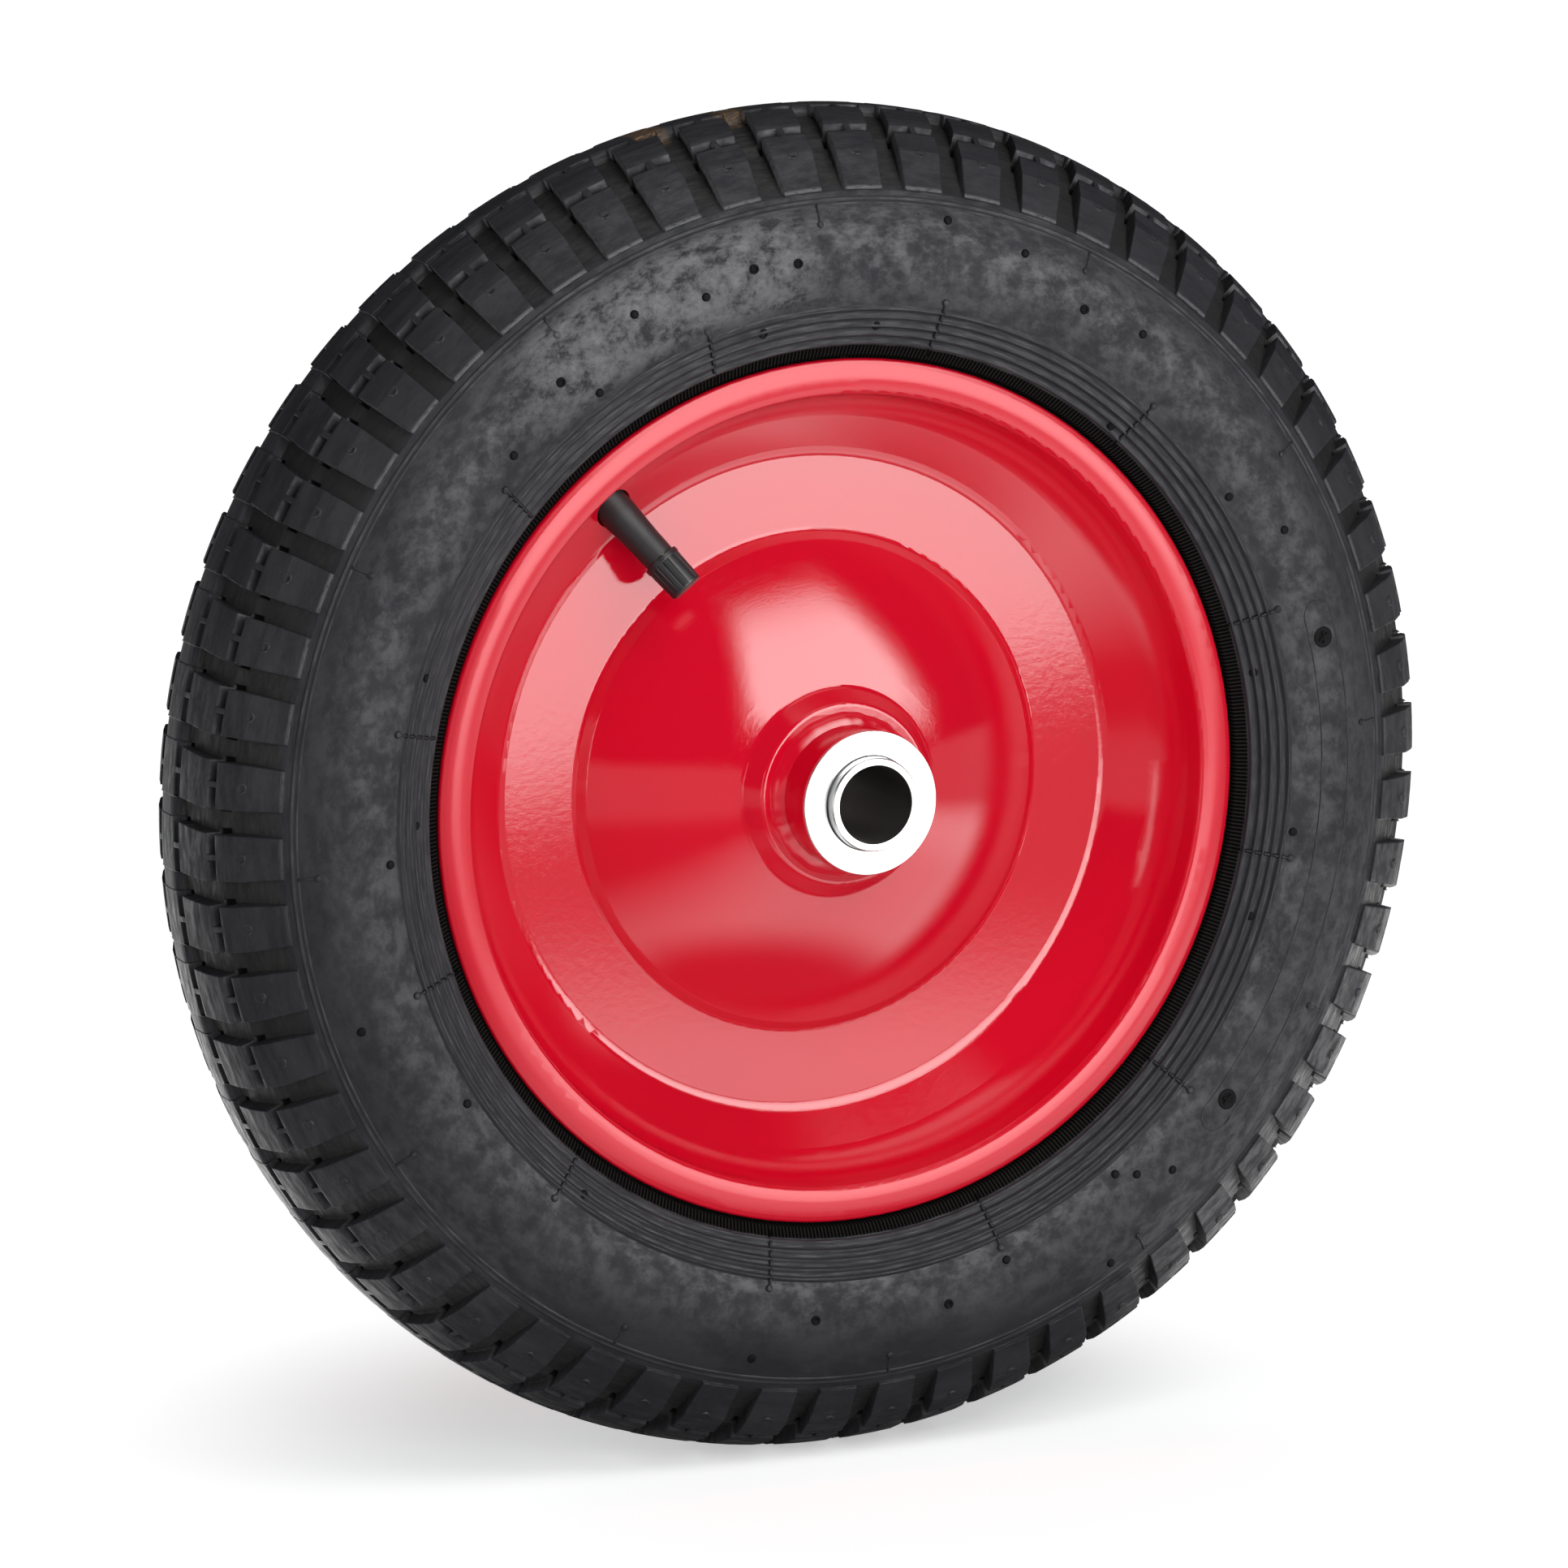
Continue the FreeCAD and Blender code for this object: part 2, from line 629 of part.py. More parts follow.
add(ridge_sketch, "PointOnObject", 0, 3, -1)
number = add(ridge_sketch, "Radius", 0, 0.45)
ridge_sketch.setExpression("Constraints[%d]" % number, "sizes.cap_ridge_groove_radius")
ridge = cap.newObject("PartDesign::Pocket", "cap_ridge_cut")
ridge.Profile = ridge_sketch
ridge.setExpression("Length", "sizes.cap_end + 1 - sizes.cap_start - sizes.cap_collar_length")
doc.recompute()
ridges = cap.newObject("PartDesign::PolarPattern", "cap_ridges")
ridges.Originals = [ridge]
ridges.Axis = ([f for f in cap.Origin.OriginFeatures if f.Role == "Z_Axis"][0], [""])
ridges.Angle = 360.0
ridges.setExpression("Occurrences", "sizes.cap_ridge_count")
cap.Tip = ridges
doc.recompute()
keep(cap, "valve_cap")


# tyre: one pitch of the tread is cut as a sector, then repeated round the axle
def arc_half(centre_radius, setback, radius, r):
    return math.sqrt(radius ** 2 - (r - centre_radius) ** 2) - setback


def arc_between(centre_radius, centre_t, radius, r1, t1, r2, t2, side):
    a1 = math.atan2(t1 - centre_t, r1 - centre_radius)
    a2 = math.atan2(t2 - centre_t, r2 - centre_radius)
    am = (a1 + a2) / 2.0
    mid = (centre_radius + radius * math.cos(am), centre_t + radius * math.sin(am))
    return Part.Arc(V(r1, side * t1, 0), V(mid[0], side * mid[1], 0), V(r2, side * t2, 0)).toShape()


def line(r1, t1, r2, t2, side):
    return Part.makeLine(V(r1, side * t1, 0), V(r2, side * t2, 0))


def crown_r(arc, t):
    return size("crown_centre_radius") + math.sqrt(arc ** 2 - t ** 2)


c_r = size("crown_centre_radius")
w_r = size("wall_arc_centre_radius")
w_t = size("wall_arc_setback")
wall_in = size("wall_arc") - size("wall_thickness")
crease_t = size("crease_height")
crease_r = crown_r(size("crown_arc"), crease_t)


def facets(arc, t_flat, t_end, count):
    # short straight steps along an arc of the crown, flat in the middle
    steps = [(c_r + arc, 0.0), (c_r + arc, t_flat)]
    for number in range(1, count + 1):
        t = t_flat + (t_end - t_flat) * number / count
        steps.append((crown_r(arc, t), t))
    return steps


crown_line = facets(size("crown_arc"), 0.1 * crease_t, crease_t, 5)
edges = []
for side in (-1, 1):
    border_t = arc_half(w_r, w_t, size("wall_arc"), size("border_radius"))
    foot_t = arc_half(w_r, w_t, size("wall_arc"), size("wall_foot_radius"))
    top_in_t = arc_half(w_r, w_t, wall_in, size("inner_wall_top_radius"))
    foot_in_t = arc_half(w_r, w_t, wall_in, size("inner_wall_foot_radius"))
    edge_in_t = size("inner_crown_edge")
    edge_in_r = crown_r(size("inner_crown_arc"), edge_in_t)
    for a, b in zip(crown_line, crown_line[1:]):
        edges.append(line(a[0], a[1], b[0], b[1], side))
    edges.append(line(crease_r, crease_t, size("block_end_radius"), size("block_end_height"), side))
    edges.append(line(size("block_end_radius"), size("block_end_height"),
                      size("foot_radius"), size("foot_height"), side))
    edges.append(line(size("foot_radius"), size("foot_height"), size("border_radius"), border_t, side))
    edges.append(arc_between(w_r, -w_t, size("wall_arc"), size("border_radius"), border_t,
                             size("wall_foot_radius"), foot_t, side))
    chain = [
        (size("wall_foot_radius"), foot_t),
        (size("bead_edge_radius"), size("bead_height")),
        (size("bead_heel_radius") + size("bead_heel_chamfer"), size("bead_height")),
        (size("bead_heel_radius"), size("bead_height") - size("bead_heel_chamfer")),
        (size("bead_toe_radius"), size("bead_toe_height")),
        (size("bead_toe_radius") + 1.3, size("bead_toe_height") - 0.7),
        (size("inner_wall_foot_radius") - 5.5, size("bead_toe_height") + 2.4),
        (size("inner_wall_foot_radius"), foot_in_t),
    ]
    for a, b in zip(chain, chain[1:]):
        edges.append(line(a[0], a[1], b[0], b[1], side))
    edges.append(arc_between(w_r, -w_t, wall_in, size("inner_wall_foot_radius"), foot_in_t,
                             size("inner_wall_top_radius"), top_in_t, side))
    edges.append(line(size("inner_wall_top_radius"), top_in_t, edge_in_r, edge_in_t, side))
    edges.append(arc_between(c_r, 0, size("inner_crown_arc"), edge_in_r, edge_in_t,
                             c_r + size("inner_crown_arc"), 0, side))

AXLE = V(0, 1, 0)
ORIGIN = V(0, 0, 0)
pitch = 360.0 / size("pitch_count")


def swept(wire_edges, degrees):
    wire = Part.Wire(Part.__sortEdges__(wire_edges))
    face = Part.Face(wire)
    face.rotate(ORIGIN, AXLE, degrees / 2.0)
    return face.revolve(ORIGIN, AXLE, -degrees)


sector = swept(edges, pitch)

# reach of the cutting shapes past the tread
top_r = c_r + size("crown_arc") + 11.0
reach = size("foot_height") + 12.0
island_r = size("foot_radius") - 4.0


def region_above(arc, t_low, t_high):
    # section above the straight floor between two heights
    low_r = crown_r(arc, t_low)
    high_r = crown_r(arc, t_high)
    top = top_r
    return [Part.makeLine(V(low_r, t_low, 0), V(high_r, t_high, 0)),
            Part.makeLine(V(high_r, t_high, 0), V(top, t_high, 0)),
            Part.makeLine(V(top, t_high, 0), V(top, t_low, 0)),
            Part.makeLine(V(top, t_low, 0), V(low_r, t_low, 0))]


turn_t = size("groove_turn_height")
turn_r = crown_r(size("groove_arc"), turn_t)
groove_line = facets(size("groove_arc"), 0.3 * turn_t, turn_t, 2)
floor_edges = []
for side in (-1, 1):
    for a, b in zip(groove_line, groove_line[1:]):
        floor_edges.append(line(a[0], a[1], b[0], b[1], side))
    floor_edges.append(line(turn_r, turn_t, size("foot_radius"), size("foot_height"), side))
    floor_edges.append(line(size("foot_radius"), size("foot_height"), size("foot_radius") + 0.9, reach, side))
    floor_edges.append(line(size("foot_radius") + 0.9, reach, top_r, reach, side))
floor_edges.append(Part.makeLine(V(top_r, -reach, 0), V(top_r, reach, 0)))
skin = swept(floor_edges, pitch + 2.0)

# island of the blocks of one pitch, seen from outside: tangential place against height
near = [
    (size("block_end_height") + 6.0, size("block_skew"), size("end_half_width") - 0.3),
    (size("block_end_height"), size("block_skew"), size("end_half_width")),
    (crease_t, size("block_skew"), size("crease_half_width")),
    (size("slot_a_outer"), size("block_skew"), size("shoulder_half_width")),
    (size("slot_a_inner"), size("block_skew"), size("block_half_width")),
    (size("slot_c_outer"), size("inner_block_skew"), size("inner_block_half_width")),
    (size("centre_row_height"), 0.15, size("centre_half_width")),
]
left = [V(island_r, -t, b - w) for t, b, w in near] + [V(island_r, t, -b - w) for t, b, w in reversed(near)]
right = [V(island_r, t, -b + w) for t, b, w in near] + [V(island_r, -t, b + w) for t, b, w in reversed(near)]
ring_points = left + right
island = Part.Face(Part.makePolygon(ring_points + [ring_points[0]])).extrude(V(top_r - island_r, 0, 0))
cut_grooves = skin.cut(island)
row = size("centre_row_height") - 0.1
deep = swept(region_above(size("slot_arc"), -row, row), pitch + 2.0).cut(island)

# a small shift of each slot keeps its end walls off the walls of the block
tools = [cut_grooves, deep]
for side in (-1, 1):
    for low, high, skew in ((size("slot_a_inner"), size("slot_a_outer"), size("block_skew")),
                            (size("slot_c_inner"), size("slot_c_outer"), 0.85 * size("inner_block_skew"))):
        heights = sorted((side * low, side * high))
        band = swept(region_above(size("slot_arc"), heights[0], heights[1]), pitch)
        middle = -side * skew
        for start, end in ((-size("slot_left"), -size("slot_bridge_left")),
                           (size("slot_bridge_right"), size("slot_right"))):
            if side > 0:
                start, end = -end, -start
            z0 = middle + start
            box = Part.makeBox(60.0, 2.0 * reach, end - start, V(c_r - 3.0, -reach, z0))
            tools.append(band.common(box))

block = sector
for tool in tools:
    block = block.cut(tool)
# faces on the two end planes of the sector are left out and the rest is repeated
half_pitch = math.radians(pitch / 2.0)
kept = []
for face in block.Faces:
    flat = face.Surface.TypeId == "Part::GeomPlane"
    on_end = False
    if flat:
        across = abs(face.Surface.Axis.y) < 1e-9
        centre = face.CenterOfMass
        for sign in (-1, 1):
            away = centre.x * math.sin(sign * half_pitch) - centre.z * math.cos(half_pitch)
            on_end = on_end or (across and abs(away) < 1e-6)
    if not on_end:
        kept.append(face)
faces = []
for step in range(int(size("pitch_count"))):
    turned_by = -(size("pitch_phase") + step * pitch)
    for face in kept:
        copy = face.copy()
        copy.rotate(ORIGIN, AXLE, turned_by)
        faces.append(copy)
shell = Part.makeShell(faces)
shell.sewShape()
tyre_solid = Part.Solid(shell.Shells[0] if shell.ShapeType != "Shell" else shell)
if tyre_solid.Volume < 0:
    tyre_solid.reverse()
tyre = doc.addObject("Part::Feature", "tyre")
tyre.Shape = tyre_solid
tyre.Placement = FreeCAD.Placement()
keep(tyre, "tyre")

# inner tube, lying in the tyre and the rim well, opened where the valve stem enters
TUBE_PATH = [
    ("crown_centre_radius + inner_crown_arc - 2*tube_gap", "0", None),
    ("crown_centre_radius + inner_crown_arc - 2*tube_gap", "7", "16"),
    ("inner_wall_top_radius", "inner_crown_edge + 8.2", "12"),
    ("wall_arc_centre_radius", "wall_arc - wall_thickness - wall_arc_setback - 2*tube_gap", "30"),
    ("inner_wall_foot_radius + 3.5", "inner_crown_edge + 6.9", "9"),
    ("tube_shoulder_radius", "tube_shoulder_height", "5"),
    ("tube_side_radius", "tube_side_height", "3"),
    ("tube_bottom_radius", "tube_bottom_height", "2"),
    ("tube_bottom_radius", "0", None),
]
tube_sketch = doc.addObject("Sketcher::SketchObject", "inner_tube_path")
outline(tube_sketch, TUBE_PATH, -1, False)
doc.recompute()
tube_wall = doc.addObject("Part::Offset2D", "inner_tube_wall")
tube_wall.Source = tube_sketch
tube_wall.Mode = "Skin"
tube_wall.Fill = True
tube_wall.Join = 2
tube_wall.Value = size("tube_wall")
tube_wall.setExpression("Value", "sizes.tube_wall")
doc.recompute()
tube_half = doc.addObject("Part::Revolution", "inner_tube_half")
tube_half.Source = tube_wall
tube_half.Axis = AXLE
tube_half.Angle = 360.0
tube_half.Solid = True
tube_other = doc.addObject("Part::Mirroring", "inner_tube_other_half")
tube_other.Source = tube_half
tube_other.Normal = AXLE
tube_whole = doc.addObject("Part::MultiFuse", "inner_tube_whole")
tube_whole.Shapes = [tube_half, tube_other]
tube_whole.Refine = True
stem_hole = doc.addObject("Part::Cylinder", "stem_hole")
stem_hole.setExpression("Radius", "sizes.stem_root_radius")
stem_hole.Height = 20.0
stem_hole.Placement = VALVE.multiply(FreeCAD.Placement(V(0, 0, -16.0), FreeCAD.Rotation()))
tube_cut = doc.addObject("Part::Cut", "inner_tube")
tube_cut.Base = tube_whole
tube_cut.Tool = stem_hole
doc.recompute()
keep(tube_cut, "inner_tube")

doc.recompute()
for obj in doc.Objects:
    if "Invalid" in obj.State or "Error" in obj.State:
        raise RuntimeError("%s is not built: %s" % (obj.Label, obj.State))
os.makedirs("parts", exist_ok=True)
for obj, name in NODES:
    shape = obj.Shape
    if shape.isNull() or not shape.isValid():
        raise RuntimeError("%s has no valid shape" % name)
    shape.exportStep(os.path.join("parts", name + ".step"))
    box = shape.BoundBox
    print(name, len(shape.Solids), round(shape.Volume, 1), [round(v, 2) for v in (
        box.XMin, box.XMax, box.YMin, box.YMax, box.ZMin, box.ZMax)])
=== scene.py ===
import json
import math

import bpy
import numpy as np
from mathutils import Matrix, Vector


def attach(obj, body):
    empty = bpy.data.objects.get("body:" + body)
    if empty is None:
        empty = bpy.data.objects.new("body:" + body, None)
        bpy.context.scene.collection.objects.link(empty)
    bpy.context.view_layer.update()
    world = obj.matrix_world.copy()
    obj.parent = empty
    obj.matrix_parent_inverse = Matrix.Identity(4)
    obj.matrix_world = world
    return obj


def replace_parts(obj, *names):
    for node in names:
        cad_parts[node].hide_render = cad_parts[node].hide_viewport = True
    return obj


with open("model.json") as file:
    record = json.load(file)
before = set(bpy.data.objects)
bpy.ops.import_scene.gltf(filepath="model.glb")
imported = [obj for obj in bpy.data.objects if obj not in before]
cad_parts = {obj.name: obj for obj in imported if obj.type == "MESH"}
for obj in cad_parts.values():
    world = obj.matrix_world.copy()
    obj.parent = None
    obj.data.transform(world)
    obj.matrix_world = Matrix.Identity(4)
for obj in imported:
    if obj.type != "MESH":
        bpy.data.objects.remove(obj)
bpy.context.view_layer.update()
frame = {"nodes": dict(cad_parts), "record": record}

scene = bpy.context.scene
scene.view_settings.view_transform = "Standard"

MM = 0.001
# counts round the wheel
BLOCKS = 58
CROSS_RIBS = 12
CHAFER_WAVES = 720.0
# radii in metres: just outside the bore's surface, the start of the tread, the middle of the tyre's section
BORE_SURFACE = 0.01012
TREAD_START = (0.1528, 0.1536)
RING_LINE = 0.1433
# the floor lies just under the tyre; paper white is a little over 1 so that it clips to pure white
FLOOR_Z = -0.1744
PAPER_WHITE = 1.05
# left to right on the floor, as the camera sees it mirrored in the wheel's front
ACROSS_X, ACROSS_Y = 0.909, 0.414


class Look:
    # one material with the nodes that make it up
    def __init__(self, name):
        self.mat = bpy.data.materials.new(name)
        self.mat.use_nodes = True
        self.tree = self.mat.node_tree
        self.shader = self.tree.nodes["Principled BSDF"]

    def new(self, kind):
        return self.tree.nodes.new("ShaderNode" + kind)

    def put(self, value, socket):
        # a number, a colour or the output of another node goes into a socket
        if isinstance(value, (int, float)):
            socket.default_value = value
        elif isinstance(value, tuple):
            socket.default_value = (*value, 1.0)
        else:
            self.tree.links.new(value, socket)

    def set(self, name, value):
        self.put(value, self.shader.inputs[name])

    def maths(self, operation, first, second=None, clamp=False):
        made = self.new("Math")
        made.operation = operation
        made.use_clamp = clamp
        self.put(first, made.inputs[0])
        if second is not None:
            self.put(second, made.inputs[1])
        return made.outputs[0]

    def product(self, *factors):
        result = factors[0]
        for factor in factors[1:]:
            result = self.maths("MULTIPLY", result, factor)
        return result

    def between(self, amount, low, high):
        # low where the amount is 0, high where it is 1
        return self.maths("ADD", low, self.maths("MULTIPLY", amount, high - low))

    def distance(self, first, second):
        squares = self.maths("ADD", self.product(first, first), self.product(second, second))
        return self.maths("SQRT", squares)

    def ramp(self, value, low, high):
        # a soft step from 0 at low to 1 at high; low may be the larger one
        made = self.new("MapRange")
        made.interpolation_type = "SMOOTHSTEP"
        self.put(value, made.inputs[0])
        self.put(low, made.inputs[1])
        self.put(high, made.inputs[2])
        return made.outputs[0]

    def blend(self, factor, first, second):
        made = self.new("Mix")
        made.data_type = "RGBA"
        for slot, value in ((0, factor), (6, first), (7, second)):
            self.put(value, made.inputs[slot])
        return made.outputs[2]

    def noise(self, scale, detail=3.0, roughness=0.5):
        made = self.new("TexNoise")
        self.put(scale, made.inputs["Scale"])
        self.put(detail, made.inputs["Detail"])
        self.put(roughness, made.inputs["Roughness"])
        return made.outputs[0]

    def position(self):
        # x, y and z in the row frame
        split = self.new("SeparateXYZ")
        self.put(self.new("TexCoord").outputs["Object"], split.inputs[0])
        return split.outputs

    def bump(self, height, distance, strength, normal=None):
        made = self.new("Bump")
        self.put(strength, made.inputs["Strength"])
        self.put(distance, made.inputs["Distance"])
        self.put(height, made.inputs["Height"])
        if normal is not None:
            self.put(normal, made.inputs["Normal"])
        return made.outputs[0]

    def drop_shader(self):
        self.tree.nodes.remove(self.shader)

    def finish(self, surface):
        self.put(surface, self.tree.nodes["Material Output"].inputs[0])


def red_paint():
    look = Look("rim_red_paint")
    x, _, z = look.position()
    radius = look.distance(x, z)
    look.set("Base Color", (0.56, 0.002, 0.017))
    look.set("Roughness", 0.4)
    look.set("Specular IOR Level", 0.0)
    look.set("Coat IOR", 1.6)
    # orange peel and longer waves in the coat
    peel = look.product(look.noise(650.0, 2.0), 0.2)
    wave = look.product(look.noise(110.0, 2.0), 0.35)
    look.set("Coat Normal", look.bump(look.maths("ADD", peel, wave), 0.00012, 0.35))
    # the rolled edge is duller than the dish
    edge = look.ramp(radius, 0.1012, 0.1032)
    look.set("Coat Roughness", look.between(edge, 0.015, 0.215))
    look.set("Coat Weight", look.between(edge, 1.0, 0.7))
    return look.mat


def wall_pale_patches(look, radius, angle, patchy, specks):
    # paler mottled patches on the upper left wall
    paling = look.product(look.ramp(angle, 1.62, 1.75), look.ramp(angle, 2.34, 2.16))
    paling = look.product(paling, look.ramp(radius, 0.125, 0.130), look.ramp(radius, 0.1515, 0.148))
    paling = look.product(paling, look.ramp(patchy, 0.36, 0.5))
    return look.product(paling, look.between(look.ramp(specks, 0.4, 0.54), 0.55, 1.0), 0.62)


def painted_block_highlights(look, x, z, radius, arc, tread, specks):
    # painted highlight on the walls of the blocks that face one way round the wheel, on its left half
    facing = look.new("SeparateXYZ")
    look.put(look.new("NewGeometry").outputs["True Normal"], facing.inputs[0])
    turned = look.maths("SUBTRACT", look.product(facing.outputs[2], x), look.product(facing.outputs[0], z))
    turned = look.maths("DIVIDE", turned, radius)
    walls = look.product(look.ramp(turned, 0.45, 0.7), look.ramp(arc, 0.0284, 0.0292), tread)
    walls = look.product(walls, look.ramp(specks, 0.36, 0.54), look.ramp(x, 0.05, -0.03))
    # and a painted highlight on the feet of the shoulder blocks, stronger towards the top
    feet = look.product(look.ramp(radius, 0.1536, 0.1540), look.ramp(radius, 0.1556, 0.1549))
    feet = look.product(feet, look.ramp(arc, 0.0300, 0.0305), look.ramp(specks, 0.34, 0.5))
    feet = look.product(feet, look.ramp(z, -0.06, 0.12))
    return look.product(look.maths("MAXIMUM", walls, feet), 0.8)


def tread_rust(look, radius, depth, angle, specks):
    # two rusty deposits in the middle of the tread, near the top
    first = look.product(look.ramp(angle, 1.675, 1.69), look.ramp(angle, 1.735, 1.71))
    second = look.product(look.ramp(angle, 1.80, 1.815), look.ramp(angle, 1.865, 1.85))
    rust = look.maths("ADD", first, second, clamp=True)
    rust = look.product(rust, look.ramp(depth, 0.008, 0.0055), look.ramp(radius, 0.166, 0.169))
    return look.product(rust, look.ramp(specks, 0.46, 0.58))


def tyre_rubber():
    look = Look("tyre_black_rubber")
    x, y, z = look.position()
    radius = look.distance(x, z)
    depth = look.maths("ABSOLUTE", y)
    angle = look.maths("ARCTAN2", z, x)
    # distance from the ring line: 31 mm on the blocks
    arc = look.distance(look.maths("SUBTRACT", radius, RING_LINE), y)
    tread = look.ramp(radius, *TREAD_START)
    grime = look.noise(90.0, 5.0, 0.65)
    broad = look.noise(14.0, 4.0, 0.6)
    patchy = look.noise(55.0, 6.0, 0.72)
    specks = look.noise(210.0, 4.0, 0.7)

    base = look.blend(look.ramp(broad, 0.4, 0.62), (0.0125, 0.0125, 0.0148), (0.0185, 0.0185, 0.0212))
    dusty = look.product(look.ramp(grime, 0.55, 0.72), 0.35)
    base = look.blend(dusty, base, (0.034, 0.034, 0.035))
    # paler mottled patches on the upper left wall
    base = look.blend(wall_pale_patches(look, radius, angle, patchy, specks), base, (0.092, 0.090, 0.096))
    # a little brown dust in the grooves
    sunk = look.product(look.ramp(arc, 0.0297, 0.0286), tread, 0.9)
    dust = look.blend(look.ramp(grime, 0.45, 0.75), (0.0135, 0.0132, 0.0130), (0.021, 0.0195, 0.0175))
    base = look.blend(sunk, base, dust)
    # painted shade makes the slots between the rows black
    slot = look.product(look.ramp(arc, 0.0275, 0.0268), tread)
    base = look.blend(slot, base, (0.006, 0.006, 0.006))
    # painted highlights on the block walls that face one way and on the block feet
    base = look.blend(painted_block_highlights(look, x, z, radius, arc, tread, specks), base, (0.105, 0.105, 0.11))
    base = look.blend(tread_rust(look, radius, depth, angle, specks), base, (0.135, 0.075, 0.032))
    # a black band beside the rim, with fine teeth: partly the dark chafer strip, partly painted shade
    # beside the rim flange
    band = look.ramp(radius, 0.1152, 0.1146)
    ridges = look.maths("SINE", look.product(angle, CHAFER_WAVES))
    teeth = look.blend(look.ramp(ridges, 0.1, 0.7), (0.003, 0.0028, 0.0026), (0.016, 0.0155, 0.015))
    look.set("Base Color", look.blend(band, base, teeth))

    # the band and the slots are matt, the rest shines in patches
    gloss = look.between(look.ramp(patchy, 0.35, 0.68), 0.12, 0.32)
    matt = look.product(look.maths("MAXIMUM", band, slot), 0.3)
    look.set("Specular IOR Level", look.maths("SUBTRACT", gloss, matt, clamp=True))
    look.set("Roughness", look.between(look.ramp(patchy, 0.4, 0.66), 0.58, 0.38))
    look.set("IOR", 1.5)

    # rounded edges, a fine grain and the ridges of the band
    round_edge = look.new("Bevel")
    round_edge.samples = 4
    look.put(0.0006, round_edge.inputs["Radius"])
    grain = look.bump(look.noise(700.0, 4.0, 0.6), 0.00006, 0.5, round_edge.outputs[0])
    chafer = look.product(look.ramp(radius, 0.1117, 0.1121), look.ramp(radius, 0.1149, 0.1145), ridges)
    look.set("Normal", look.bump(chafer, 0.0002, 0.8, grain))
    return look.mat


def plain(name, colour, roughness, metallic=0.0, ior=1.5, grain=None):
    # one colour; grain is the scale and the height of a fine bump
    look = Look(name)
    look.set("Base Color", colour)
    look.set("Roughness", roughness)
    look.set("Metallic", metallic)
    look.set("IOR", ior)
    if grain:
        look.set("Normal", look.bump(look.noise(grain[0]), grain[1], 0.5))
    return look.mat


def zinc():
    # bright zinc outside, darker and duller inside the bore
    look = Look("bright_zinc")
    x, _, z = look.position()
    inside = look.maths("LESS_THAN", look.distance(x, z), BORE_SURFACE)
    spots = look.ramp(look.noise(260.0, 4.0, 0.6), 0.35, 0.7)
    colour = look.blend(spots, (0.93, 0.94, 0.93), (0.80, 0.81, 0.80))
    look.set("Base Color", look.blend(inside, colour, (0.24, 0.22, 0.215)))
    look.set("Metallic", 1.0)
    look.set("Roughness", look.between(inside, 0.3, 0.5))
    look.set("Normal", look.bump(look.noise(300.0), 0.00003, 0.5))
    return look.mat


RUBBER_GRAIN = (500.0, 0.00005)
MATERIALS = {
    "tyre_rubber": tyre_rubber(),
    "tube_rubber": plain("stem_black_rubber", (0.012, 0.012, 0.013), 0.42, grain=RUBBER_GRAIN),
    "rim_paint": red_paint(),
    "zinc_steel": zinc(),
    "ball_steel": plain("ball_steel", (0.7, 0.7, 0.7), 0.1, 1.0),
    "valve_brass": plain("valve_brass", (0.72, 0.55, 0.27), 0.25, 1.0),
    "cap_plastic": plain("cap_black_plastic", (0.010, 0.010, 0.011), 0.38),
}
slots = {part["node"]: part["material_slot"] for part in frame["record"]["subparts"]}
for name, thing in frame["nodes"].items():
    thing.data.materials.clear()
    thing.data.materials.append(MATERIALS[slots[name]])

# fine relief that the pressed and moulded pieces carry, laid on the CAD surfaces, in mm:
# the tyre wall in section is an arc of radius WALL_ARC round (WALL_R, -WALL_BACK)
WALL_R, WALL_BACK, WALL_ARC = 135.3, 5.0, 37.7
# how far the foot of a relief is sunk into the surface
SUNK = -0.12


def wall_point(r, angle, lift=0.0):
    # a point of the tyre wall on the valve side, lifted off it along its normal
    t = math.sqrt(WALL_ARC ** 2 - (r - WALL_R) ** 2) - WALL_BACK
    out_r = (r - WALL_R) / WALL_ARC
    out_t = (t + WALL_BACK) / WALL_ARC
    lifted = r + out_r * lift
    return np.array((lifted * math.cos(angle), -(t + out_t * lift), lifted * math.sin(angle)))


def whole_turn(count):
    return np.linspace(0, 2 * math.pi, count, endpoint=False)


def band_faces(start, wide, tall, closed):
    # quads between neighbouring rows of points, numbered row by row from start
    faces = []
    for i in range(tall - 1):
        low, high = start + i * wide, start + (i + 1) * wide
        for j in range(wide if closed else wide - 1):
            k = (j + 1) % wide
            faces.append((low + j, low + k, high + k, high + j))
    return faces


def wheel_piece(name, points, faces, mat):
    mesh = bpy.data.meshes.new(name)
    mesh.from_pydata(points.tolist(), [], faces)
    mesh.shade_smooth()
    mesh.materials.append(mat)
    made = bpy.data.objects.new(name, mesh)
    scene.collection.objects.link(made)
    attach(made, "wheel")
    return made


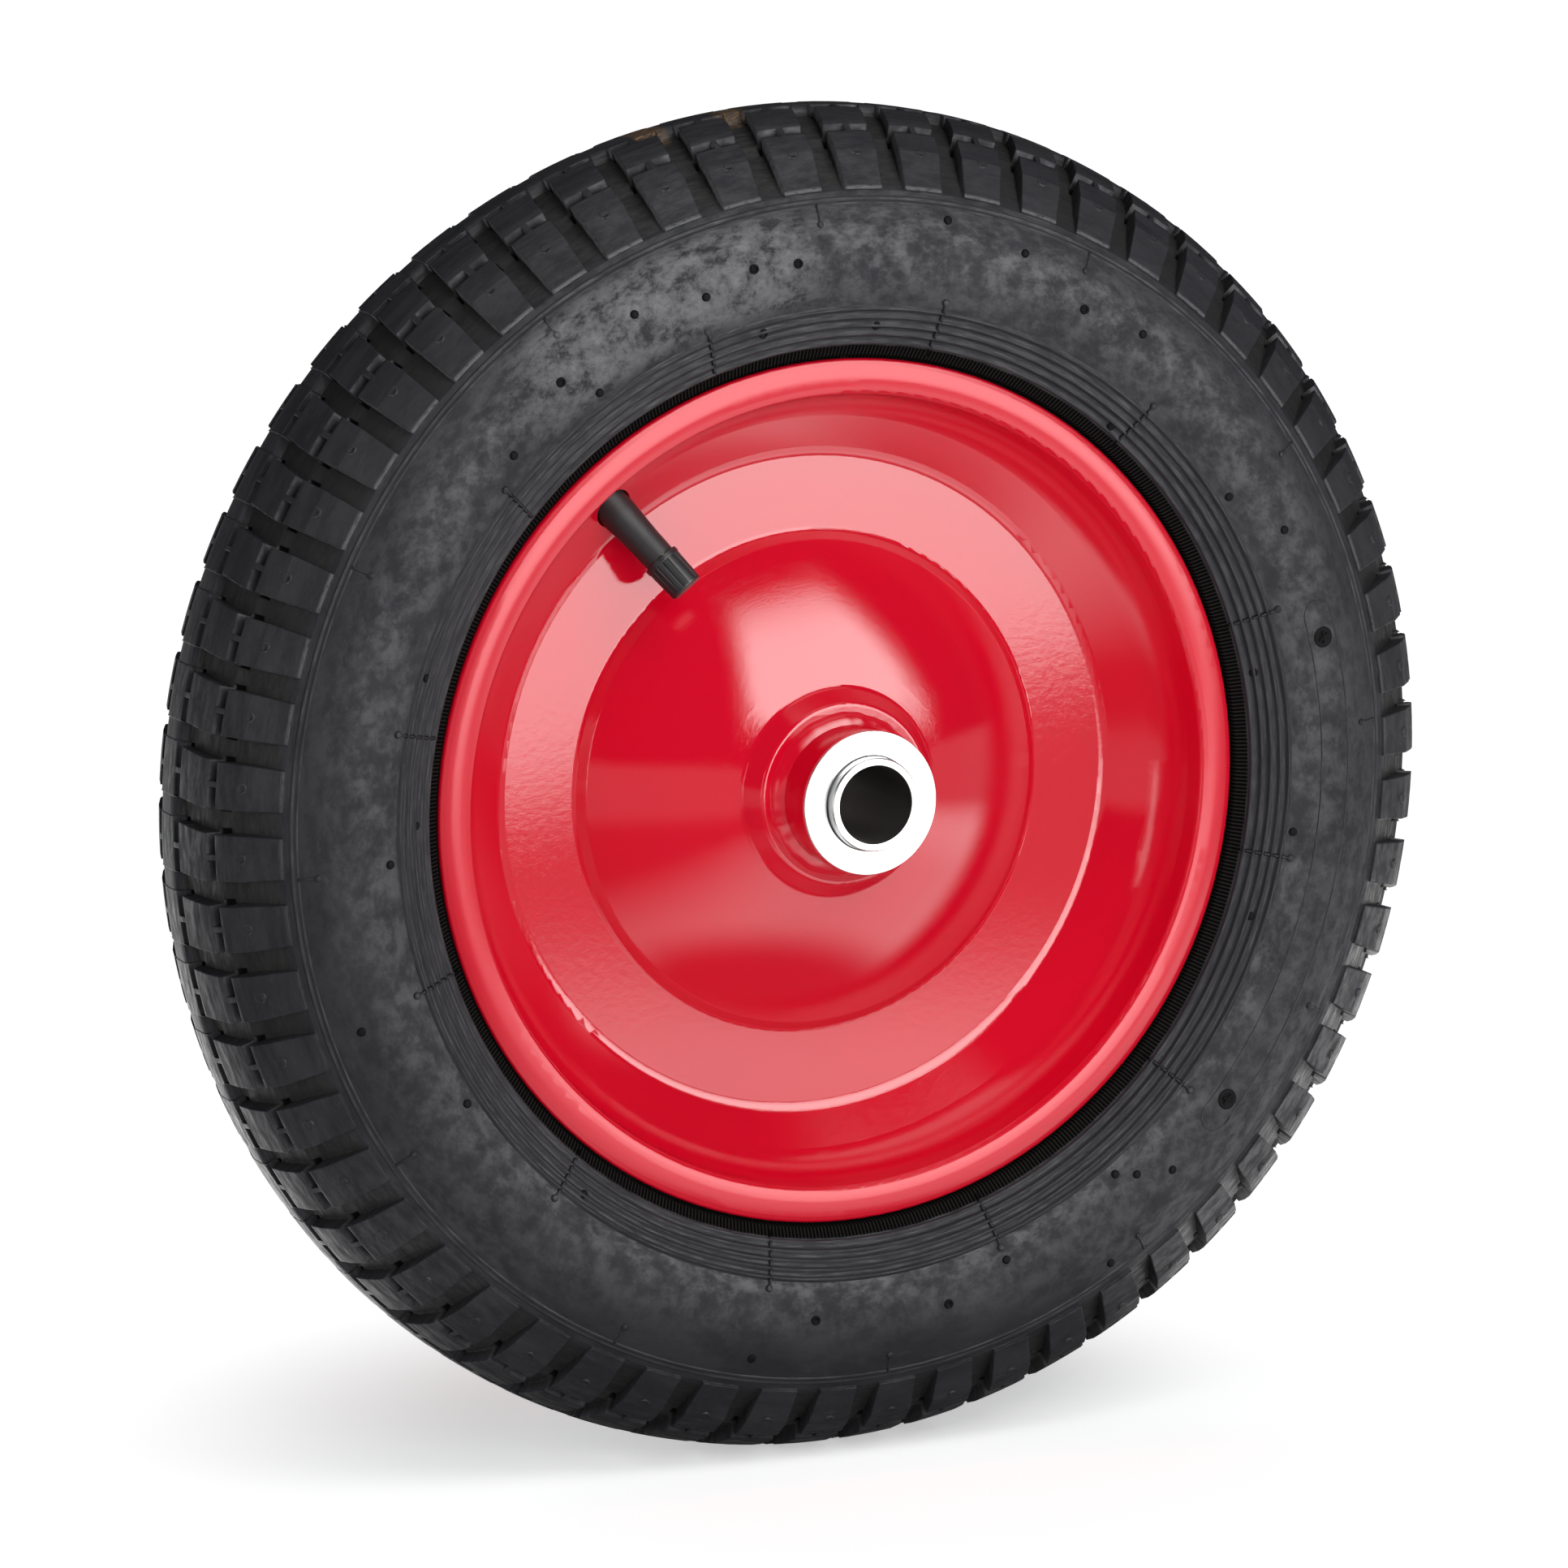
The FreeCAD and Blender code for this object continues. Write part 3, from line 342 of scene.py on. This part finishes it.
class Relief:
    # gathers small faces into one mesh
    def __init__(self):
        self.points = []
        self.faces = []

    def patch(self, rows, closed=False):
        # rows of points; neighbouring rows are joined
        self.faces += band_faces(len(self.points), len(rows[0]), len(rows), closed)
        for row in rows:
            self.points.extend(row)

    def dot(self, r, angle, radius, lift, sides=10, hollow=False):
        # a round pip on the wall, or a raised ring with a sunk middle
        steps = ((1.0, SUNK), (0.95, 0.55 * lift), (0.75, lift), (0.35, lift), (0.02, lift))
        if hollow:
            steps = ((1.15, SUNK), (1.0, lift), (0.75, lift), (0.6, 0.02), (0.02, 0.02))
        rows = []
        for share, up in steps:
            reach = radius * share
            rows.append([wall_point(r + reach * math.cos(a), angle + reach * math.sin(a) / r, up)
                         for a in whole_turn(sides)])
        self.patch(rows, True)

    def rib(self, path, width, lift):
        # a thin raised line through (r, angle) places on the wall
        rows = []
        for share, up in ((-0.5, SUNK), (-0.3, lift), (0.3, lift), (0.5, SUNK)):
            row = []
            for i, (r, a) in enumerate(path):
                before, after = path[max(i - 1, 0)], path[min(i + 1, len(path) - 1)]
                along = np.array((after[0] - before[0], (after[1] - before[1]) * r))
                along /= np.linalg.norm(along)
                aside = width * share
                row.append(wall_point(r - along[1] * aside, a + along[0] * aside / r, up))
            rows.append(row)
        self.patch(rows)

    def hoop(self, profile, segments=480):
        # a band round the axle through (r, lift) places on the wall
        self.patch([[wall_point(r, a, up) for a in whole_turn(segments)] for r, up in profile], True)

    def build(self, name, mat, half_turn=False):
        # half_turn puts the relief on the other side, turned half round the upright axis
        points = np.array(self.points) * MM
        if half_turn:
            points[:, :2] *= -1.0
        wheel_piece(name, points, self.faces, mat)


def wall_relief():
    relief = Relief()
    # five ribs beside the rim
    profile = [(114.4, -0.15)]
    for k in range(5):
        r = 115.9 + 2.2 * k
        profile += [(r - 0.5, 0.03), (r - 0.3, 0.75), (r + 0.15, 0.8), (r + 0.4, 0.03)]
    profile.append((126.2, -0.15))
    relief.hoop(profile)
    # double line below the shoulder blocks
    relief.hoop([(150.7, -0.1), (151.0, 0.2), (151.25, 0.2), (151.5, 0.02),
                 (152.0, 0.02), (152.25, 0.3), (152.5, 0.3), (152.8, -0.1)])
    # mould vents: lines across the five ribs and short ones at the double line, each ending in a dot
    for k in range(CROSS_RIBS):
        turn = 360.0 / CROSS_RIBS * k
        across = math.radians(108.9 - turn)
        relief.rib([(r, across) for r in np.linspace(113.6, 127.0, 12)], 0.7, 0.62)
        relief.dot(127.4, across, 1.0, 0.6)
        vent = math.radians(93.9 + turn)
        relief.rib([(r, vent) for r in np.linspace(146.8, 151.2, 5)], 0.55, 0.4)
        relief.dot(146.4, vent, 0.9, 0.5)
    return relief


# round vent pips seen on the valve side, as (radius, degrees), read off
PIPS = ((137.7, 97), (138.8, 102), (136, 108), (140, 116), (136.7, 126.5), (128, 123.5), (137.3, 62.5),
        (128, 213), (135, 265), (146, 258.5), (136.4, 281), (138.4, 311), (136.7, 27), (127.7, 34),
        (140, 55), (122, 102), (120, 87), (148, 80), (144.5, 71), (131.7, 135.5), (132, 307.5),
        (128, 305.5), (127.6, 183.5), (119.5, 179.5), (122.8, 162), (118, 12), (122, 232), (131, 289),
        (121, 341), (144, 200), (127, 352), (148, 300), (117, 51))
PIP_RADIUS, PIP_LIFT, PIP_SIDES = 1.15, 0.5, 12
# the pips at these degrees are rings with a sunk middle
STAR_RINGS = (97, 102, 126.5, 62.5, 265, 281)
# the pips of the far side are the same ones, this many degrees further on
REAR_PIP_TURN = 40.0


def shoulder_rings(relief):
    # one small moulded ring on each shoulder block, on its crease
    ring_r, ring_t = 163.7, -23.05
    for k in range(BLOCKS):
        a = math.radians(1.81 + 360.0 / BLOCKS * k)
        centre = np.array((ring_r * math.cos(a), ring_t, ring_r * math.sin(a)))
        out = np.array((math.cos(a) * 0.72, -0.69, math.sin(a) * 0.72))
        along = np.array((-math.sin(a), 0.0, math.cos(a)))
        across = np.cross(out, along)
        rows = []
        for radius, lift in ((1.55, -0.35), (1.4, 0.22), (1.15, 0.26), (1.0, 0.02), (0.05, 0.05)):
            rows.append([centre + (along * math.cos(t) + across * math.sin(t)) * radius + out * lift
                         for t in whole_turn(14)])
        relief.patch(rows, True)


def centre_rib():
    # the middle row of the tread runs on between its blocks; (y, r) places of its section
    section = ((-5.0, 170.6), (-4.3, 173.1), (-3.9, 173.9), (-2.2, 174.21),
               (2.2, 174.21), (3.9, 173.9), (4.3, 173.1), (5.0, 170.6))
    turns = whole_turn(16 * BLOCKS)
    rib = Relief()
    rib.patch([[np.array((r * math.cos(a), t, r * math.sin(a))) for a in turns] for t, r in section], True)
    return rib


def insert_plate(relief):
    # outline of the exchangeable mould plate, valve side only
    middle, half = 137.6, 4.0
    low, high = math.radians(-41.5), math.radians(16.5)
    bend = np.linspace(0.3, 2.85, 9)
    outline = [(middle + half, a) for a in np.linspace(low, high, 60)]
    outline += [(middle + half * math.cos(t), high + half * math.sin(t) / middle) for t in bend]
    outline += [(middle - half, a) for a in np.linspace(high, low, 60)]
    outline += [(middle - half * math.cos(t), low - half * math.sin(t) / middle) for t in bend]
    relief.rib(outline + outline[:2], 0.4, 0.18)


def plate_screws(relief):
    # the two cross-slotted screw heads of the mould plate
    for degrees in (14.0, -39.2):
        a = math.radians(degrees)
        relief.dot(137.7, a, 2.5, 0.28, 16, True)
        relief.rib([(136.3, a - 0.004), (139.1, a + 0.004)], 0.7, 0.5)
        relief.rib([(137.5, a - 0.011), (137.9, a + 0.011)], 0.7, 0.5)


rubber = MATERIALS["tyre_rubber"]
front_relief = wall_relief()
shoulder_rings(front_relief)
insert_plate(front_relief)
front_relief.build("wall_relief_front", rubber)
# the pips and screw heads are darker than the wall
darker_rubber = plain("tyre_dark_rubber", (0.0045, 0.0045, 0.0048), 0.6, ior=1.15, grain=RUBBER_GRAIN)
pips = Relief()
for r, degrees in PIPS:
    pips.dot(r, math.radians(degrees), PIP_RADIUS, PIP_LIFT, PIP_SIDES, degrees in STAR_RINGS)
plate_screws(pips)
pips.build("wall_pips_front", darker_rubber)
rear_relief = wall_relief()
shoulder_rings(rear_relief)
for r, degrees in PIPS:
    rear_relief.dot(r, math.radians(degrees + REAR_PIP_TURN), PIP_RADIUS, PIP_LIFT, PIP_SIDES)
rear_relief.build("wall_relief_rear", rubber, True)
centre_rib().build("centre_rib", rubber)


def weld_bead(side, name, seed):
    # the same bead as the CAD ring, with the ripples of a hand weld; its two edges stay put
    rng = np.random.default_rng(seed)
    count = 220
    depth = 0.28
    angles = whole_turn(count)
    wave = np.zeros(count)
    for k in range(2, 34):
        wave += rng.normal() / (1.5 + 0.10 * k) * np.cos(k * angles + rng.uniform(0, 6.28))
    wave /= np.abs(wave).max()
    profile = ((18.2, 27.55), (19.2, 27.35), (20.1, 27.0), (20.7, 26.5), (21.15, 25.9), (21.4, 25.3),
               (21.45, 25.0))
    last = len(profile) - 1
    points = []
    for i, (r, t) in enumerate(profile):
        amount = 0.0 if i in (0, last) else depth
        for n, a in enumerate(angles):
            shift = amount * (wave[n] - 1.0)
            points.append(((r + shift) * math.cos(a), side * (t + shift * 0.6), (r + shift) * math.sin(a)))
    faces = band_faces(0, count, len(profile), True)
    if side > 0:
        faces = [quad[::-1] for quad in faces]
    return wheel_piece(name, np.array(points) * MM, faces, MATERIALS["rim_paint"])


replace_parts(weld_bead(-1, "weld_ripple_front", 4), "hub_weld_front")
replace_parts(weld_bead(1, "weld_ripple_rear", 9), "hub_weld_rear")


def mixed_shader(look, amount, first, second):
    made = look.new("MixShader")
    look.put(amount, made.inputs[0])
    look.put(first, made.inputs[1])
    look.put(second, made.inputs[2])
    return made.outputs[0]


def glow(look, strength):
    made = look.new("Emission")
    look.put(strength, made.inputs[1])
    return made.outputs[0]


def floor_white():
    # white to the camera, with a soft shadow near the wheel
    look = Look("floor_white")
    look.drop_shader()
    x, y, _ = look.position()
    spread = look.distance(x, y)
    rays = look.new("LightPath").outputs
    matt = look.new("BsdfDiffuse")
    look.put((0.9, 0.9, 0.9), matt.inputs[0])
    direct = look.maths("MAXIMUM", rays["Is Camera Ray"], rays["Is Diffuse Ray"])
    near = look.new("AddShader")
    look.put(matt.outputs[0], near.inputs[0])
    look.put(glow(look, look.product(direct, 0.44)), near.inputs[1])
    # what shiny pieces see of the floor: dark under the wheel, bright in front of it, then fading
    across = look.maths("ADD", look.product(x, ACROSS_X), look.product(y, ACROSS_Y))
    patch = look.between(look.ramp(spread, 0.3, 0.46), 0.75, 1.0)
    patch = look.product(patch, look.ramp(spread, 0.10, 0.17), look.ramp(spread, 0.8, 0.5))
    patch = look.product(patch, look.ramp(across, -0.3, -0.05))
    # and a glow behind the wheel, on its left
    behind = look.product(look.ramp(y, 0.0, 0.12), look.ramp(across, 0.02, -0.1), 0.75)
    patch = look.product(look.maths("ADD", patch, behind), 2.7)
    seen_floor = look.maths("ADD", patch, look.between(look.ramp(spread, 0.5, 0.8), 0.15, 0.6))
    either = mixed_shader(look, rays["Is Glossy Ray"], near.outputs[0], glow(look, seen_floor))
    far = look.product(rays["Is Camera Ray"], look.ramp(spread, 0.08, 0.21))
    look.finish(mixed_shader(look, far, either, glow(look, PAPER_WHITE)))
    return look.mat


bpy.ops.mesh.primitive_plane_add(size=60.0, location=(0, 0, FLOOR_Z))
floor = bpy.context.object
floor.name = "floor"
floor.data.materials.append(floor_white())

# the world: white to the camera, and a dim bluish light to everything else
world = bpy.data.worlds.new("studio")
scene.world = world
world.use_nodes = True
sky = world.node_tree
sky.nodes.clear()
seen = sky.nodes.new("ShaderNodeBackground")
seen.inputs[0].default_value = (1, 1, 1, 1)
seen.inputs[1].default_value = PAPER_WHITE
dim = sky.nodes.new("ShaderNodeBackground")
dim.inputs[0].default_value = (0.9, 0.95, 1.0, 1)
dim.inputs[1].default_value = 0.05
eye = sky.nodes.new("ShaderNodeLightPath")
mixed = sky.nodes.new("ShaderNodeMixShader")
sky.links.new(eye.outputs["Is Camera Ray"], mixed.inputs[0])
sky.links.new(dim.outputs[0], mixed.inputs[1])
sky.links.new(seen.outputs[0], mixed.inputs[2])
sky.links.new(mixed.outputs[0], sky.nodes.new("ShaderNodeOutputWorld").inputs[0])


def softbox(name, way, distance, width, height, radiance, gloss=True, diffuse=True):
    # a soft light in the direction way from the axle's middle, given its brightness
    way = Vector(way).normalized()
    data = bpy.data.lights.new(name, "AREA")
    data.shape = "RECTANGLE"
    data.size = width
    data.size_y = height
    data.energy = radiance * math.pi * width * height
    lamp = bpy.data.objects.new(name, data)
    scene.collection.objects.link(lamp)
    lamp.location = way * distance
    lamp.rotation_euler = (-way).to_track_quat("-Z", "Y").to_euler()
    lamp.visible_camera = False
    lamp.visible_glossy = gloss
    lamp.visible_diffuse = diffuse


def card(name, turn, distance, corners, levels):
    # a bright card that only shiny pieces see, turn degrees right of the wheel's front, given its
    # corners as (across, height) and its brightness as (height, radiance) steps
    turn = math.radians(turn)
    ahead = Vector((math.sin(turn), -math.cos(turn), 0.0))
    side = Vector((math.cos(turn), math.sin(turn), 0.0))
    points = [ahead * distance + side * u + Vector((0, 0, v)) for u, v in corners]
    mesh = bpy.data.meshes.new(name)
    mesh.from_pydata(points, [], [tuple(range(len(corners)))])
    look = Look(name + "_glow")
    look.drop_shader()
    z = look.position()[2]
    level = levels[0][1]
    for (low, first), (high, second) in zip(levels, levels[1:]):
        level = look.maths("ADD", level, look.product(look.ramp(z, low, high), second - first))
    look.finish(glow(look, level))
    mesh.materials.append(look.mat)
    made = bpy.data.objects.new(name, mesh)
    scene.collection.objects.link(made)
    made.visible_camera = False
    made.visible_diffuse = False
    made.visible_shadow = False


card("card_front_right", 20.0, 0.95,
     ((-0.40, -0.165), (-0.04, -0.165), (0.62, 0.0), (0.62, 0.15), (0.22, 0.95), (-0.40, 0.95)),
     ((-0.165, 5.0), (0.1, 7.4), (0.6, 7.4), (0.95, 4.2)))
card("card_left", -56.0, 1.3,
     ((-0.08, -0.17), (0.08, -0.17), (0.08, 0.35), (-0.08, 0.35)),
     ((-0.17, 3.5), (0.35, 3.5)))
softbox("box_top", (0.05, -0.1, 1.0), 1.6, 1.4, 1.2, 1.0, diffuse=False)
# light for the colour of the surfaces
softbox("fill_top", (0.3, -0.6, 0.8), 2.2, 1.4, 1.4, 3.8, gloss=False)
softbox("fill_front", (-0.1, -0.95, 0.25), 2.2, 1.6, 1.6, 3.2, gloss=False)
softbox("fill_rear", (-0.35, 0.9, 0.45), 2.2, 1.4, 1.4, 1.2, gloss=False)
softbox("fill_left", (-0.93, -0.3, 0.25), 2.0, 1.0, 1.2, 2.6, gloss=False)

# camera at the photo's angle
camera_data = bpy.data.cameras.new("camera")
camera = bpy.data.objects.new("camera", camera_data)
scene.collection.objects.link(camera)
camera_data.sensor_width = 36.0
camera_data.lens = 174.54
camera_data.clip_start = 0.05
camera_data.clip_end = 100.0
camera_place = Vector((-0.810256, -1.752990, 0.318222))
forward = Vector((0.41152, 0.89668, -0.16314))
right = Vector((0.90886, -0.41710, 0.0))
up = right.cross(forward)
camera.matrix_world = Matrix.Translation(camera_place) @ Matrix((right, up, -forward)).transposed().to_4x4()
scene.camera = camera
